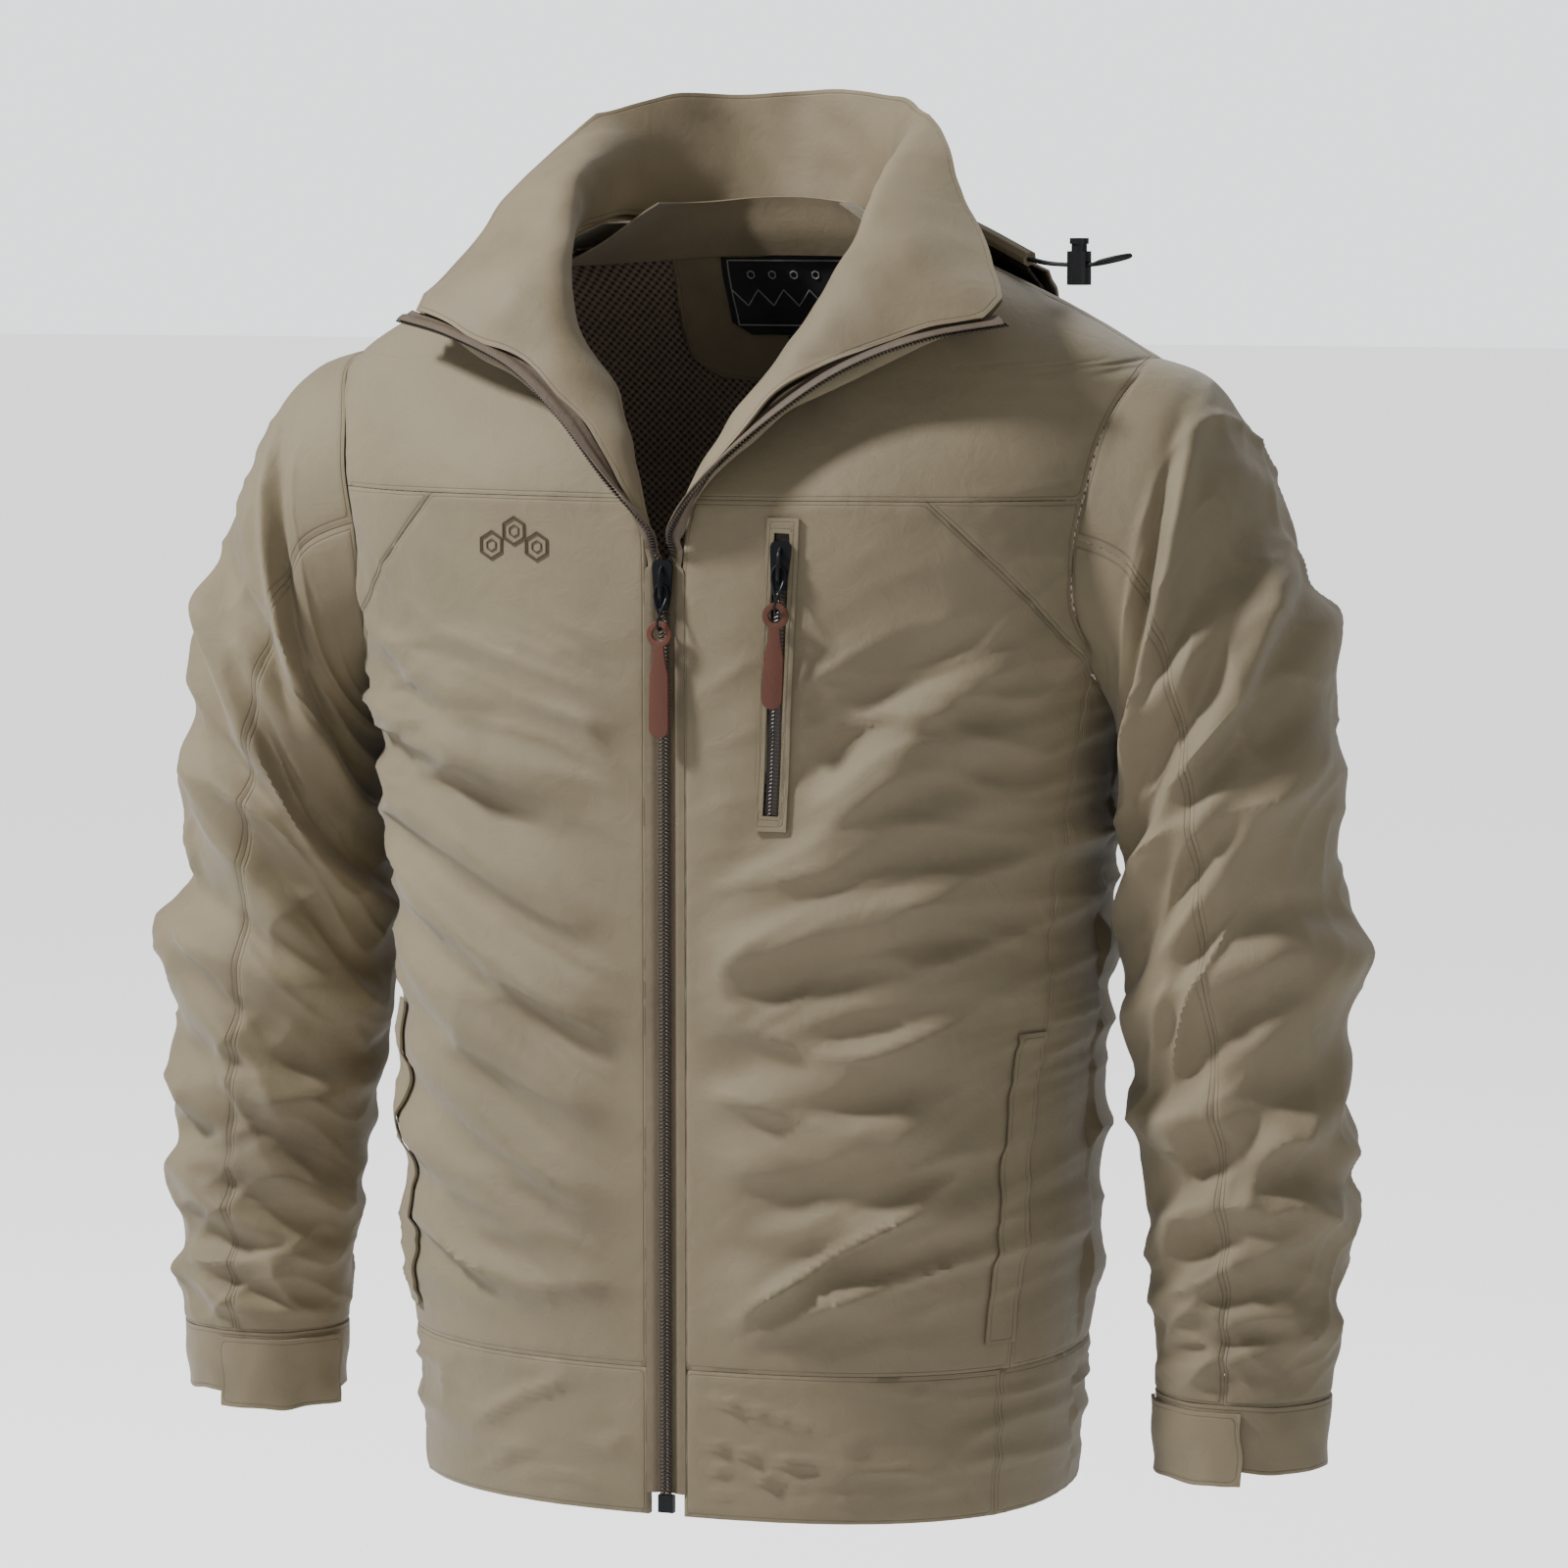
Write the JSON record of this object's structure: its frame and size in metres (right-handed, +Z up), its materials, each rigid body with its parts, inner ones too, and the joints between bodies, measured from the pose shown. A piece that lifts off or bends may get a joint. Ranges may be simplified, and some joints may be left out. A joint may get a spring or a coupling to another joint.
{
  "type": "outdoor jacket with stowed hood",
  "caption": "Light khaki zip jacket with open stand collar, stowed hood, chest pocket zip, side pockets, gathered hem and tabbed cuffs.",
  "frame": {"origin": "centre of the neck opening at the neck seam, where the wearer's neck holds the jacket", "axes": "+X to the wearer's left, -Y to the front, +Z up"},
  "size_m": [0.6878, 0.3077, 0.7621],
  "materials": {
    "shell_cloth": "khaki woven nylon shell cloth",
    "mesh_lining": "taupe mesh lining",
    "dark_mesh": "dark brown mesh lining of the hood",
    "zip_coil": "nylon zip coil and tape",
    "black_trim": "black moulded plastic",
    "label_weave": "woven label",
    "cord": "braided cord",
    "slider_metal": "gunmetal zip slider and puller",
    "leather": "brown leather",
    "spring_steel": "steel spring"
  },
  "bodies": {
    "jacket": {"front_panel_left": "shell_cloth", "front_panel_right": "shell_cloth", "back_panel": "shell_cloth", "underarm_gusset_left": "shell_cloth", "underarm_gusset_right": "shell_cloth", "side_panel_left": "shell_cloth", "side_panel_right": "shell_cloth", "front_yoke_left": "shell_cloth", "front_yoke_right": "shell_cloth", "back_yoke": "shell_cloth", "hem_front_left": "shell_cloth", "hem_front_right": "shell_cloth", "hem_back": "shell_cloth", "sleeve_upper_left": "shell_cloth", "sleeve_upper_right": "shell_cloth", "sleeve_under_left": "shell_cloth", "sleeve_under_right": "shell_cloth", "cuff_left": "shell_cloth", "cuff_right": "shell_cloth", "collar_outer": "shell_cloth", "collar_facing": "shell_cloth", "zip_tape_left": "zip_coil", "zip_tape_right": "zip_coil", "zip_coil_left": "zip_coil", "zip_coil_right": "zip_coil", "zip_box": "black_trim", "chest_welt": "shell_cloth", "chest_zip_chain": "zip_coil", "chest_pocket_bag": "mesh_lining", "hand_welt_left": "shell_cloth", "hand_welt_right": "shell_cloth", "hand_pocket_bag_left": "mesh_lining", "hand_pocket_bag_right": "mesh_lining", "lining_front_left": "mesh_lining", "lining_front_right": "mesh_lining", "lining_back": "mesh_lining", "neck_facing": "shell_cloth", "neck_label": "label_weave", "size_tab": "label_weave", "hood_base": "shell_cloth", "hood_shell": "shell_cloth", "hood_lining": "dark_mesh", "hood_tunnel": "shell_cloth", "cord_lock_body": "black_trim", "cord_lock_spring": "spring_steel", "drawcord": "cord"},
    "zip_slider": {"zip_slider": "slider_metal"},
    "zip_puller": {"zip_puller": "slider_metal"},
    "zip_leather_pull": {"zip_leather_pull": "leather"},
    "chest_slider": {"chest_slider": "slider_metal"},
    "chest_puller": {"chest_puller": "slider_metal"},
    "chest_leather_pull": {"chest_leather_pull": "leather"},
    "cuff_tab_left": {"cuff_tab_left": "shell_cloth"},
    "cuff_tab_right": {"cuff_tab_right": "shell_cloth"},
    "cord_lock_button": {"cord_lock_button": "black_trim"}
  },
  "joints": [
    {"name": "zip_slide", "type": "slide", "parent": "jacket", "child": "zip_slider", "axis": [0, 0, -1], "range_m": [0, 0.45], "deforming": ["zip_coil_left", "zip_coil_right"]},
    {"name": "zip_puller_lift", "type": "hinge", "parent": "zip_slider", "child": "zip_puller", "pos_m": [0, -0.13835, -0.18995], "axis": [-1, 0, 0], "range_deg": [0, 90]},
    {"name": "zip_leather_swing", "type": "hinge", "parent": "zip_puller", "child": "zip_leather_pull", "pos_m": [0, -0.14117, -0.21392], "axis": [-1, 0, 0], "range_deg": [0, 12]},
    {"name": "chest_zip_slide", "type": "slide", "parent": "jacket", "child": "chest_slider", "axis": [-0.0424, -0.0025, -0.9991], "range_m": [0, 0.115]},
    {"name": "chest_puller_lift", "type": "hinge", "parent": "chest_slider", "child": "chest_puller", "pos_m": [0.06544, -0.13674, -0.17891], "axis": [-0.9948, -0.0923, 0.0422], "range_deg": [0, 90]},
    {"name": "chest_leather_swing", "type": "hinge", "parent": "chest_puller", "child": "chest_leather_pull", "pos_m": [0.06471, -0.13976, -0.20284], "axis": [-0.9948, -0.0923, 0.0422], "range_deg": [0, 12]},
    {"name": "cuff_tab_left_open", "type": "hinge", "parent": "jacket", "child": "cuff_tab_left", "pos_m": [0.23891, -0.02612, -0.642], "axis": [0, 0, -1], "range_deg": [0, 100]},
    {"name": "cuff_tab_right_open", "type": "hinge", "parent": "jacket", "child": "cuff_tab_right", "pos_m": [-0.23891, -0.02612, -0.642], "axis": [0, 0, 1], "range_deg": [0, 100]},
    {"name": "cord_lock_press", "type": "slide", "parent": "jacket", "child": "cord_lock_button", "axis": [0, 0, -1], "range_m": [0, 0.0035], "stiffness_N_per_m": 300, "springref_m": -0.003, "deforming": ["cord_lock_spring"]}
  ]
}
